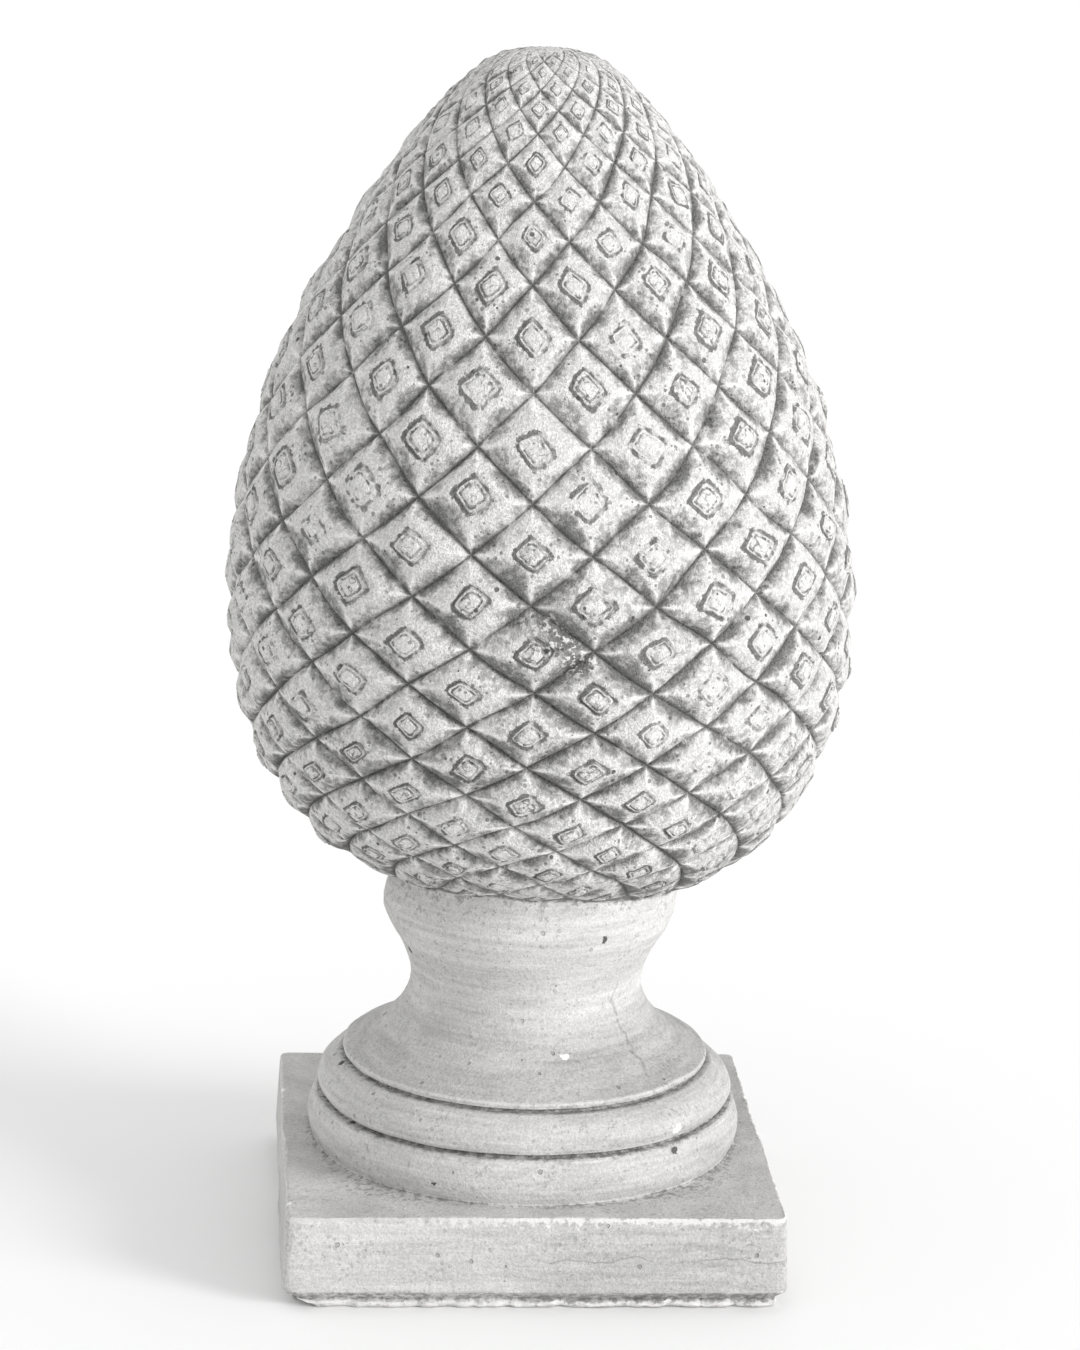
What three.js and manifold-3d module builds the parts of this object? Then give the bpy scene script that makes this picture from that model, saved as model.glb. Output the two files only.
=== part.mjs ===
// A pinecone finial in cast stone: a cone of pointed scales on a waisted neck, two rings and a square plinth.
// Millimetres, +Z up. The origin is the middle of the plinth's underside, and the front faces -Y.

import * as THREE from "three";
import Module from "manifold-3d";

// Square plinth
const PLINTH_WIDTH = 203; // at its widest, just above the foot bevel
const PLINTH_TOP_WIDTH = 200;
const PLINTH_HEIGHT = 39.2;
const PLINTH_CORNER = 3; // radius of the four upright corners
const PLINTH_ARRIS = 1.2; // worn edge round the top
const FOOT_BEVEL_HEIGHT = 8;
const FOOT_BEVEL_INSET = 9;

// Lower ring, a drum that bulges a little
const RING_HEIGHT = 18.8;
const RING_EDGE_RADIUS = 87.6;
const RING_BULGE = 2;

// Grooves between the mouldings
const QUIRK_HEIGHT = 1.6;
const QUIRK_DEPTH = 2.4;

// Upper ring, fullest below its middle
const TORUS_HEIGHT = 14.6;
const TORUS_FOOT_RADIUS = 84.6;
const TORUS_BULGE = 2.2;
const TORUS_TOP_RADIUS = 77.4;

// Flared foot of the neck
const LIP_RADIUS = 75.6;
const LIP_HEIGHT = 2.8;
const FLARE_HEIGHT = 30;

// Waist and collar
const WAIST_RADIUS = 48.1;
const SWELL_HEIGHT = 34;
const COLLAR_RADIUS = 60.2;
const SHOULDER_HEIGHT = 13;
const SHOULDER_DROP = 8; // how far the collar's top closes in under the cone

// Cone
const CONE_HEIGHT = 340.5;
const CONE_RADIUS = 122.2; // to the bottom of the grooves, where it is widest
const CONE_SINK = 4; // how deep its foot sits in the collar
const SCALES_AROUND = 16;
const SCALE_TURN = -6.56; // degrees from the front to the first column
const SCALE_RISE = 0.24; // height of a scale's point over its half width
const BOSS_SHARE = 0.37; // half diagonal of the square boss over the scale's own
const BOSS_SLOPE = 0.06; // how much its top is smaller, as the same share
const BOSS_RISE = 0.045; // its height over the scale's half width
const FIRST_BOSS_ROW = 1;
const LAST_BOSS_ROW = 20;
// The cone was cast a little off the neck's axis: across, at its foot and at its tip.
const CONE_FOOT_SHIFT = 2.8;
const CONE_TIP_SHIFT = -2.3;

// Every third row of groove crossings: height and groove radius, as shares of the cone's own.
const ROW_STEP = 3;
const ROWS = [
  [0.0, 0.47],
  [0.081, 0.762],
  [0.19, 0.935],
  [0.319, 0.996],
  [0.4737, 0.967],
  [0.648, 0.822],
  [0.8053, 0.586],
  [0.916, 0.373],
  [0.979, 0.204],
  [0.9985, 0.074],
];
const LAST_ROW = ROW_STEP * (ROWS.length - 1);

const LATHE_SIDES = 48;
const CURVE_STEPS = 5;
const CORNER_STEPS = 3;

const wasm = await Module();
wasm.setup();

// Levels of the stack, each on top of the one below
const RING_BASE = PLINTH_HEIGHT;
const TORUS_BASE = RING_BASE + RING_HEIGHT + QUIRK_HEIGHT;
const LIP_BASE = TORUS_BASE + TORUS_HEIGHT + QUIRK_HEIGHT;
const WAIST_LEVEL = LIP_BASE + LIP_HEIGHT + FLARE_HEIGHT;
const COLLAR_LEVEL = WAIST_LEVEL + SWELL_HEIGHT;
const SHOULDER_LEVEL = COLLAR_LEVEL + SHOULDER_HEIGHT;
const CONE_FOOT = SHOULDER_LEVEL - CONE_SINK;

function solidFrom(positions, triangles) {
  return new wasm.Manifold(
    new wasm.Mesh({
      numProp: 3,
      vertProperties: new Float32Array(positions),
      triVerts: new Uint32Array(triangles),
    }),
  );
}

// Joins outlines of equal point count, from the bottom one up, into a closed body.
function loft(outlines) {
  const count = outlines[0].length;
  const positions = outlines.flat(2);
  const triangles = [];
  for (let level = 0; level + 1 < outlines.length; level += 1) {
    for (let i = 0; i < count; i += 1) {
      const a = level * count + i;
      const b = level * count + ((i + 1) % count);
      triangles.push(a, b, b + count, a, b + count, a + count);
    }
  }
  const top = (outlines.length - 1) * count;
  for (let i = 1; i + 1 < count; i += 1) {
    triangles.push(0, i + 1, i, top, top + i, top + i + 1);
  }
  return solidFrom(positions, triangles);
}

// A square with rounded corners, anticlockwise from above.
function roundedSquare(width, corner, z) {
  const inset = width / 2 - corner;
  const points = [];
  for (let quarter = 0; quarter < 4; quarter += 1) {
    const middle = ((2 * quarter + 1) * Math.PI) / 4;
    const centreX = inset * Math.SQRT2 * Math.cos(middle);
    const centreY = inset * Math.SQRT2 * Math.sin(middle);
    for (let step = 0; step <= CORNER_STEPS; step += 1) {
      const angle = middle + (step / CORNER_STEPS - 0.5) * (Math.PI / 2);
      points.push([centreX + corner * Math.cos(angle), centreY + corner * Math.sin(angle), z]);
    }
  }
  return points;
}

function plinthSolid() {
  return loft([
    roundedSquare(PLINTH_WIDTH - 2 * FOOT_BEVEL_INSET, PLINTH_CORNER, 0),
    roundedSquare(PLINTH_WIDTH, PLINTH_CORNER, FOOT_BEVEL_HEIGHT),
    roundedSquare(PLINTH_TOP_WIDTH, PLINTH_CORNER, PLINTH_HEIGHT - PLINTH_ARRIS),
    roundedSquare(PLINTH_TOP_WIDTH - 2 * PLINTH_ARRIS, PLINTH_CORNER, PLINTH_HEIGHT),
  ]);
}

// Everything turned between the plinth and the cone, as one outline from the axis back to the axis.
function pedestalOutline() {
  const outline = new THREE.Path();
  const buried = PLINTH_HEIGHT / 2;
  outline.moveTo(0, RING_BASE - buried);
  outline.lineTo(RING_EDGE_RADIUS, RING_BASE - buried);
  outline.lineTo(RING_EDGE_RADIUS, RING_BASE);

  const ringTop = RING_BASE + RING_HEIGHT;
  const ringPull = RING_EDGE_RADIUS + 2 * RING_BULGE;
  outline.quadraticCurveTo(ringPull, (RING_BASE + ringTop) / 2, RING_EDGE_RADIUS, ringTop);
  outline.lineTo(TORUS_FOOT_RADIUS - QUIRK_DEPTH, ringTop);
  outline.lineTo(TORUS_FOOT_RADIUS - QUIRK_DEPTH, TORUS_BASE);

  const torusTop = TORUS_BASE + TORUS_HEIGHT;
  outline.lineTo(TORUS_FOOT_RADIUS, TORUS_BASE);
  outline.bezierCurveTo(
    TORUS_FOOT_RADIUS + 1.5 * TORUS_BULGE,
    TORUS_BASE + 0.35 * TORUS_HEIGHT,
    TORUS_TOP_RADIUS + 0.75 * (TORUS_FOOT_RADIUS - TORUS_TOP_RADIUS) + TORUS_BULGE,
    torusTop - 0.3 * TORUS_HEIGHT,
    TORUS_TOP_RADIUS,
    torusTop,
  );
  outline.lineTo(LIP_RADIUS - QUIRK_DEPTH, torusTop);
  outline.lineTo(LIP_RADIUS - QUIRK_DEPTH, LIP_BASE);

  const lipTop = LIP_BASE + LIP_HEIGHT;
  const flareReach = LIP_RADIUS - WAIST_RADIUS;
  outline.lineTo(LIP_RADIUS, LIP_BASE);
  outline.lineTo(LIP_RADIUS, lipTop);
  outline.bezierCurveTo(
    WAIST_RADIUS + 0.7 * flareReach,
    lipTop + 0.1 * FLARE_HEIGHT,
    WAIST_RADIUS,
    lipTop + 0.45 * FLARE_HEIGHT,
    WAIST_RADIUS,
    WAIST_LEVEL,
  );
  outline.bezierCurveTo(
    WAIST_RADIUS,
    WAIST_LEVEL + 0.44 * SWELL_HEIGHT,
    COLLAR_RADIUS,
    WAIST_LEVEL + 0.68 * SWELL_HEIGHT,
    COLLAR_RADIUS,
    COLLAR_LEVEL,
  );
  outline.quadraticCurveTo(
    COLLAR_RADIUS,
    COLLAR_LEVEL + 0.6 * SHOULDER_HEIGHT,
    COLLAR_RADIUS - SHOULDER_DROP,
    SHOULDER_LEVEL,
  );
  outline.lineTo(0, SHOULDER_LEVEL);
  return outline.getPoints(CURVE_STEPS);
}

function pedestalSolid() {
  const rings = pedestalOutline()
    .filter((point) => point.x > 0)
    .map((point) => {
      const ring = [];
      for (let i = 0; i < LATHE_SIDES; i += 1) {
        const angle = (2 * Math.PI * (i + 0.5)) / LATHE_SIDES;
        ring.push([point.x * Math.cos(angle), point.x * Math.sin(angle), point.y]);
      }
      return ring;
    });
  return loft(rings);
}

// Height and groove radius of the cone at a row, whole or between two rows.
function rowShape(row) {
  const at = Math.min(Math.max(row / ROW_STEP, 0), ROWS.length - 1);
  const index = Math.min(Math.floor(at), ROWS.length - 2);
  const t = at - index;
  const [before, from, to, after] = [-1, 0, 1, 2].map(
    (step) => ROWS[Math.min(Math.max(index + step, 0), ROWS.length - 1)],
  );
  return [0, 1].map((i) => {
    const leave = (to[i] - before[i]) / 2;
    const arrive = (after[i] - from[i]) / 2;
    const rise = to[i] - from[i];
    return from[i] + t * (leave + t * (3 * rise - 2 * leave - arrive + t * (leave + arrive - 2 * rise)));
  });
}

// A point over the cone: row and column count groove crossings, height is off the groove surface.
function conePoint(row, column, height) {
  const [z, radius] = rowShape(row);
  const [zBelow, radiusBelow] = rowShape(row - 0.01);
  const [zAbove, radiusAbove] = rowShape(row + 0.01);
  const climb = (zAbove - zBelow) * CONE_HEIGHT;
  const widen = (radiusAbove - radiusBelow) * CONE_RADIUS;
  const length = Math.hypot(climb, widen);
  const out = radius * CONE_RADIUS + (height * climb) / length;
  const up = z * CONE_HEIGHT - (height * widen) / length;
  const degrees = SCALE_TURN + (180 * column) / SCALES_AROUND;
  const angle = THREE.MathUtils.degToRad(degrees);
  const shift = THREE.MathUtils.lerp(CONE_FOOT_SHIFT, CONE_TIP_SHIFT, up / CONE_HEIGHT);
  return [shift + out * Math.sin(angle), -out * Math.cos(angle), CONE_FOOT + up];
}

// The cone: crossings sit where row plus column is odd, and a scale fills each diamond between four of them.
function coneSolid() {
  const columns = 2 * SCALES_AROUND;
  const positions = [];
  const triangles = [];
  const crossings = new Map();

  function addPoint(point) {
    positions.push(...point);
    return positions.length / 3 - 1;
  }
  function crossing(row, column) {
    const key = `${row} ${(column + columns) % columns}`;
    if (!crossings.has(key)) crossings.set(key, addPoint(conePoint(row, column, 0)));
    return crossings.get(key);
  }
  function fill(outer, inner) {
    for (let i = 0; i < 4; i += 1) {
      const next = (i + 1) % 4;
      triangles.push(outer[i], outer[next], inner[next], outer[i], inner[next], inner[i]);
    }
  }

  for (let row = 1; row < LAST_ROW; row += 1) {
    const halfWidth = (Math.PI * rowShape(row)[1] * CONE_RADIUS) / SCALES_AROUND;
    const rise = SCALE_RISE * halfWidth;
    for (let column = row % 2; column < columns; column += 2) {
      const around = (share, height) =>
        [
          [row, column + share],
          [row + share, column],
          [row, column - share],
          [row - share, column],
        ].map(([r, c]) => addPoint(conePoint(r, c, height)));
      const outer = [
        crossing(row, column + 1),
        crossing(row + 1, column),
        crossing(row, column - 1),
        crossing(row - 1, column),
      ];
      if (row < FIRST_BOSS_ROW || row > LAST_BOSS_ROW) {
        const point = addPoint(conePoint(row, column, rise));
        for (let i = 0; i < 4; i += 1) triangles.push(outer[i], outer[(i + 1) % 4], point);
        continue;
      }
      const foot = around(BOSS_SHARE, rise * (1 - BOSS_SHARE / 2));
      const top = around(BOSS_SHARE - BOSS_SLOPE, rise * (1 - BOSS_SHARE / 2) + BOSS_RISE * halfWidth);
      fill(outer, foot);
      fill(foot, top);
      triangles.push(top[0], top[1], top[2], top[0], top[2], top[3]);
    }
  }

  // Close the zigzag edges left at the foot and at the tip.
  const foot = addPoint([CONE_FOOT_SHIFT, 0, CONE_FOOT]);
  const tip = addPoint([CONE_TIP_SHIFT, 0, CONE_FOOT + CONE_HEIGHT]);
  for (let column = 0; column < columns; column += 1) {
    const low = (c) => crossing((c + 1) % 2, c);
    const high = (c) => crossing(LAST_ROW - ((LAST_ROW + c + 1) % 2), c);
    triangles.push(low(column + 1), low(column), foot);
    triangles.push(high(column), high(column + 1), tip);
  }
  return solidFrom(positions, triangles);
}

function meshFrom(name, solid, material) {
  const { vertProperties, triVerts } = solid.getMesh();
  const geometry = new THREE.BufferGeometry();
  geometry.setAttribute("position", new THREE.BufferAttribute(vertProperties, 3));
  geometry.setIndex(new THREE.BufferAttribute(triVerts, 1));
  geometry.computeVertexNormals();
  const mesh = new THREE.Mesh(geometry, material);
  mesh.name = name;
  return mesh;
}

const castStone = new THREE.MeshStandardMaterial({ color: 0xc4c3bf, roughness: 0.92, metalness: 0 });

const finial = new THREE.Group();
finial.add(meshFrom("pinecone_finial", plinthSolid().add(pedestalSolid()).add(coneSolid()), castStone));

export default finial;
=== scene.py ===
"""A pinecone finial in cast stone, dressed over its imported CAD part."""

import math
import random
from types import SimpleNamespace

import bmesh
import bpy
import numpy as np
from mathutils import Matrix, Vector


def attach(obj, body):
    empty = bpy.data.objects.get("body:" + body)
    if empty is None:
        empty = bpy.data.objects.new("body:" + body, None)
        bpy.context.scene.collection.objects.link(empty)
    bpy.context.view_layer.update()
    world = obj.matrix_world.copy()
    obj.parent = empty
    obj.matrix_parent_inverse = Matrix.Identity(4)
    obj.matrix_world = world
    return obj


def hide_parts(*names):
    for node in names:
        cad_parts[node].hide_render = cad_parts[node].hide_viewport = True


NODE = "pinecone_finial"
MM = 0.001

# Plinth, in millimetres as all sizes below
PLINTH_TOP_HALF = 100.0
PLINTH_FOOT_HALF = 101.4
PLINTH_HEIGHT = 39.2
PLINTH_CORNER = 3.0  # radius of its upright corners
PLINTH_FACE_HALF = 98.7  # half of its flat top, inside the worn edge
# Down its sides and across its underside: half width, height, how dark with painted shade in the
# undercut and how pale with wear
PLINTH_SIDES = (
    (99.5, 39.0, 0, 0.7),
    (99.9, 38.4, 0, 1.0),
    (PLINTH_TOP_HALF, 37.4, 0, 0.6),
    (100.3, 31.0, 0, 0),
    (100.8, 23.0, 0, 0),
    (101.1, 15.0, 0, 0),
    (PLINTH_FOOT_HALF, 9.4, 0, 0.1),
    (101.3, 8.2, 0.1, 0.3),
    (100.0, 6.9, 0.8, 0),
    (97.2, 4.4, 1, 0),
    (96.3, 3.5, 0.9, 0),
    (97.4, 2.6, 0.1, 0.8),
    (97.7, 1.6, 0, 1),
    (97.0, 0.5, 0.2, 0.4),
    (95.6, 0.0, 0.4, 0),
    (70.0, 0.0, 0.2, 0),
)
# The corner broken off its foot: where it ends on the left, how long it is and how high it reaches
LOST_CORNER_SIDE = -101.5
LOST_CORNER_LENGTH = 15.0
LOST_CORNER_HEIGHT = 7.6

# Mouldings between the plinth and the neck
RING_TOP = 58.0
RING_RADIUS = 87.6
RING_BULGE = 2.0
TORUS_BASE = 59.6
TORUS_TOP = 74.2
TORUS_FOOT_RADIUS = 84.6
TORUS_BULGE = 2.2
TORUS_TOP_RADIUS = 77.4
LIP_BASE = 75.8
LIP_TOP = 78.6
LIP_RADIUS = 75.6
QUIRK_RADII = (82.2, 73.0)

# Neck and collar
WAIST_LEVEL = 108.6
WAIST_RADIUS = 48.1
COLLAR_LEVEL = 142.6
COLLAR_RADIUS = 60.2

# Cone
CONE_FOOT = 151.6
CONE_HEIGHT = 340.5
CONE_RADIUS = 122.2
SCALES_AROUND = 16
COLUMNS = 2 * SCALES_AROUND
SCALE_TURN = -6.56
CONE_FOOT_SHIFT = 2.8
CONE_TIP_SHIFT = -2.3
ROW_STEP = 3
ROWS = np.array(
    [
        [0.0, 0.47],
        [0.081, 0.762],
        [0.19, 0.935],
        [0.319, 0.996],
        [0.4737, 0.967],
        [0.648, 0.822],
        [0.8053, 0.586],
        [0.916, 0.373],
        [0.979, 0.204],
        [0.9985, 0.074],
    ]
)
LAST_ROW = ROW_STEP * (len(ROWS) - 1)
# How far the rows of crossings have slipped round the cone, in columns: at its foot, middle and tip
FOOT_SLIP = -1.0
MIDDLE_SLIP = 0.09
TIP_SLIP = -0.21
FOOT_SLIP_ROWS = (8, -1)  # the foot's slip sets in from the first of these rows to the second
TIP_SLIP_ROWS = (11, 23)
FOOT_LIFT = 6.0  # how much the cone's foot rises at the front
FINE_ROWS = 20  # rows from the foot up whose scales are cut in full

# A scale, as shares of its own half side from its edge (0) to its middle (1)
SIDE_STEPS = 5
FINE_DEPTHS = (0.79, 0.745, 0.70, 0.655, 0.605, 0.555, 0.40, 0.21, 0.125, 0.06, 0.0)
PLAIN_DEPTHS = (0.79, 0.60, 0.30, 0.10, 0.0)
BOSS_DEPTH = 0.58
RIDGE_END = 0.9  # how far out from its middle its ridges stay sharp
GROOVE_WIDTH = 0.06
WALL_WIDTH = 0.21
FIRST_LINE = 0.605  # where the lines cut round and on the boss lie
SECOND_LINE = 0.745

# A scale's heights, over its half width
GROOVE_RISE = 0.032
WALL_RISE = 0.078
FACE_RISE = 0.215
LINE_CUT = 0.042
BOSS_LIFT = 0.018

# How much bosses differ: size, turn in radians, skew, offset and bend, as shares of the scale
BOSS_SIZE = 0.1
BOSS_TURN = 0.12
BOSS_SKEW = 0.07
BOSS_OFFSET = 0.035
BOSS_BEND = 0.06
FAINT_SHARE = 0.07  # how many bosses have faint lines
CARVING_SEED = 41

STEPS_AROUND = COLUMNS * SIDE_STEPS
TURN_STEP = 360.0 / STEPS_AROUND

# Where on a scale a face that belongs to none of them takes its marks from
PLAIN_SHARE = (0.6, 0.1)

# Where scales are smeared nearly flat, and where the face is eaten away: row, column, reach, strength
SMEARED = (
    (8.3, 3.1, 1.2, 0.45),
    (6.8, 3.9, 1.5, 0.8),
    (4.6, 5.2, 1.8, 0.75),
    (9.0, 2.7, 0.9, 0.5),
    (13.5, 14.0, 1.6, 0.5),
)
ERODED = (
    (10.2, 0.45, 0.32, 0.8),
    (9.75, 0.75, 0.34, 1.0),
    (10.6, 0.15, 0.45, 0.45),
    (7.0, -12.5, 0.5, 0.8),
)

# Where more dirt has gathered
STAINED = (
    (10.2, 0.9, 2.0, 1.0),
    (7.0, -0.4, 2.0, 1.0),
    (6.6, -3.2, 1.6, 0.8),
    (9.0, 12.0, 2.4, 1.0),
    (13.0, -13.0, 2.0, 1.0),
)


def row_shape(row):
    """Height and groove radius of the cone at a row, as shares of its own, whole or between two rows."""
    at = np.clip(np.asarray(row, float) / ROW_STEP, 0, len(ROWS) - 1)
    index = np.minimum(at.astype(int), len(ROWS) - 2)
    t = (at - index)[..., None]
    before, start, end, after = (
        ROWS[np.clip(index + step, 0, len(ROWS) - 1)] for step in (-1, 0, 1, 2)
    )
    leave, arrive, rise = (end - before) / 2, (after - start) / 2, end - start
    square = 3 * rise - 2 * leave - arrive
    cube = leave + arrive - 2 * rise
    return start + t * (leave + t * (square + t * cube))


def half_width(row):
    return math.pi * row_shape(row)[..., 1] * CONE_RADIUS / SCALES_AROUND


def foot_lift(angle, row):
    """How much higher than round the cone's foot is, at an angle from the front in radians."""
    low = 1 - smooth(np.asarray(row, float), 0, 7)
    return low * (FOOT_LIFT * np.maximum(0, np.cos(angle)) ** 1.5 - 1.5 * np.sin(angle))


def row_slip(row):
    """How many columns a row has slipped round the cone."""
    towards_foot = 1 - smooth(row, *reversed(FOOT_SLIP_ROWS))
    towards_tip = smooth(row, *TIP_SLIP_ROWS)
    foot = (FOOT_SLIP - MIDDLE_SLIP) * towards_foot
    return MIDDLE_SLIP + foot + (TIP_SLIP - MIDDLE_SLIP) * towards_tip


def cone_point(row, column, height):
    """A point over the cone: row and column count groove crossings, height is off their surface."""
    shape = row_shape(row)
    run = row_shape(row + 0.01) - row_shape(row - 0.01)
    climb, widen = run[..., 0] * CONE_HEIGHT, run[..., 1] * CONE_RADIUS
    length = np.hypot(climb, widen)
    out = shape[..., 1] * CONE_RADIUS + height * climb / length
    up = shape[..., 0] * CONE_HEIGHT - height * widen / length
    column = column + row_slip(row)
    angle = np.radians(SCALE_TURN + 180.0 * column / SCALES_AROUND)
    up = up + foot_lift(angle, row)
    shift = CONE_FOOT_SHIFT + (CONE_TIP_SHIFT - CONE_FOOT_SHIFT) * up / CONE_HEIGHT
    return np.stack([shift + out * np.sin(angle), -out * np.cos(angle), CONE_FOOT + up], -1)


def ripple(points, length, seed):
    """Smooth noise about 0, the same wherever two points meet. Its wave is about length millimetres."""
    rng = np.random.default_rng(seed)
    total = np.zeros(len(points))
    for _ in range(9):
        direction = rng.normal(size=3)
        direction *= 2 * math.pi * rng.uniform(0.7, 1.4) / (length * np.linalg.norm(direction))
        total += np.sin(points @ direction + rng.uniform(0, 2 * math.pi))
    return total / 2.1


def smooth(value, low, high):
    t = np.clip((value - low) / (high - low), 0, 1)
    return t * t * (3 - 2 * t)


def spots(row, column, places):
    """How strongly any of the places acts at a row and column, from 0 to 1."""
    total = np.zeros(np.shape(row))
    for at_row, at_column, reach, strength in places:
        around = (column - at_column + SCALES_AROUND) % COLUMNS - SCALES_AROUND
        away = np.hypot(row - at_row, around) / reach
        total = np.maximum(total, strength * (1 - smooth(away, 0.45, 1.25)))
    return total


def boundary(bm):
    return [edge for edge in bm.edges if edge.is_boundary]


def extrude_rim(bm, rim):
    """Extrudes a rim of edges in place and returns the new vertices and the new rim."""
    made = bmesh.ops.extrude_edge_only(bm, edges=rim)["geom"]
    fresh = {part for part in made if isinstance(part, bmesh.types.BMVert)}
    edges = [
        part
        for part in made
        if isinstance(part, bmesh.types.BMEdge) and all(v in fresh for v in part.verts)
    ]
    return fresh, edges


def scale_pattern(depths):
    """One scale flat in its own square from -1 to 1, as rings of faces round a small grid."""
    bm = bmesh.new()
    bmesh.ops.create_grid(
        bm, x_segments=SIDE_STEPS, y_segments=SIDE_STEPS, size=1 - depths[0]
    )
    rim = boundary(bm)
    for inner, outer in zip(depths, depths[1:]):
        fresh, rim = extrude_rim(bm, rim)
        grow = (1 - outer) / (1 - inner)
        bmesh.ops.scale(bm, verts=list(fresh), vec=(grow, grow, 1))
    bmesh.ops.recalc_face_normals(bm, faces=bm.faces)
    if sum(face.normal.z for face in bm.faces) < 0:
        bmesh.ops.reverse_faces(bm, faces=bm.faces)
    shares = bm.loops.layers.uv.new("scale")
    for face in bm.faces:
        for loop in face.loops:
            loop[shares].uv = loop.vert.co.xy
    for edge in bm.edges:
        a, b = (v.co for v in edge.verts)
        on_ridge = all(abs(abs(co.x) - abs(co.y)) < 1e-5 for co in (a, b))
        reaches = [max(abs(co.x), abs(co.y)) for co in (a, b)]
        outside = min(reaches) > 1 - BOSS_DEPTH and max(reaches) < RIDGE_END
        in_groove = edge.is_boundary
        edge.smooth = not ((on_ridge and outside) or in_groove)
    mesh = bpy.data.meshes.new("scale_pattern")
    bm.to_mesh(mesh)
    bm.free()
    return mesh


def scale_vertices(s, t, row, column, rng):
    """Places a flat scale's points on the cone, and says how worn, eaten away and dirty each is."""
    reach = np.maximum(np.abs(s), np.abs(t))
    depth = 1 - reach
    along = np.minimum(np.abs(s), np.abs(t)) / np.maximum(reach, 1e-9)
    ridge = smooth(along, 0.1, 1.0)

    # The boss is cut by hand: a little off centre, turned and of its own size, with rounded corners.
    inner = smooth(depth, 0.22, 0.52)
    rounded = (np.abs(s) ** 6 + np.abs(t) ** 6) ** (1 / 6) / np.maximum(reach, 1e-9)
    scale = (1 + inner * (1 / rounded - 1)) * (1 + inner * rng.uniform(-BOSS_SIZE, BOSS_SIZE))
    turn = inner * rng.gauss(0, BOSS_TURN)
    skew = inner * rng.gauss(0, BOSS_SKEW)
    u, v = s * scale * (1 + skew), t * scale * (1 - skew)
    u, v = u * np.cos(turn) - v * np.sin(turn), u * np.sin(turn) + v * np.cos(turn)
    u = u + inner * (rng.gauss(0, BOSS_OFFSET) + rng.gauss(0, BOSS_BEND) * s * t)
    v = v + inner * (rng.gauss(0, BOSS_OFFSET) + rng.gauss(0, BOSS_BEND) * s * t)

    # Up and across from the scale's middle. Where a scale is flat, its boss is less so.
    up, across = (u + v) / 2, (u - v) / 2
    tall = (row_shape(row + 1)[0] - row_shape(row - 1)[0]) / 2 * CONE_HEIGHT
    across = across * (1 - inner * 0.55 * (1 - min(1.0, tall / half_width(row))))
    at_row, at_column = row + up, column + across
    worn = spots(at_row, at_column, SMEARED)
    eaten = spots(at_row, at_column, ERODED)
    keep = 1 - 0.72 * worn
    faint = rng.random() < FAINT_SHARE
    cut = LINE_CUT * (0.25 if faint else rng.uniform(0.65, 1.25)) * (1 - 0.8 * worn)
    lift = BOSS_LIFT * rng.uniform(0.2, 1.6) * (1 - worn)

    wall = WALL_RISE * (1 - 0.8 * ridge) * keep
    wall_width = WALL_WIDTH * (1 - 0.45 * ridge)
    height = GROOVE_RISE * np.clip(depth / GROOVE_WIDTH, 0, 1)
    height = height + wall * smooth(depth, 0.3 * GROOVE_WIDTH, wall_width)
    rest = FACE_RISE * (1 - 0.5 * worn) - wall - GROOVE_RISE
    climb = np.clip(depth / BOSS_DEPTH, 0, 1)
    height = height + rest * climb * (1.12 - 0.12 * climb)
    in_line = 1 - smooth(np.abs(depth - FIRST_LINE), 0.01, 0.05)
    in_second = 1 - smooth(np.abs(depth - SECOND_LINE), 0.005, 0.045)
    height = height - cut * in_line
    height = height + lift * smooth(depth, 0.63, 0.67) - 0.6 * cut * in_second
    height = height + 1.1 * lift * smooth(depth, 0.75, 0.80)
    height = height * half_width(row) * rng.uniform(0.94, 1.05)

    ideal = cone_point(at_row, at_column, np.zeros(len(s)))
    hold = smooth(at_row, 0.0, 2.0) * smooth(LAST_ROW - at_row, 0.0, 2.0)
    at_row = at_row + hold * 0.03 * ripple(ideal, 46, 11)
    at_column = at_column + hold * 0.026 * ripple(ideal, 52, 12)
    height = height + hold * (0.22 * ripple(ideal, 30, 13) + 0.10 * ripple(ideal, 8, 14))
    height = height - eaten * (1.1 + 0.9 * ripple(ideal, 5, 15))
    # The lowest scales turn under and end level on the collar.
    low = 1 - smooth(at_row, 0.0, 1.5)
    level = cone_point(at_row * 0, at_column, 0 * height)
    placed = cone_point(at_row, at_column, height * (1 - low))
    placed[:, 2] += low * 0.55 * (level[:, 2] + 2.0 - placed[:, 2])
    return placed, worn, eaten, spots(at_row, at_column, STAINED)


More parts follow.
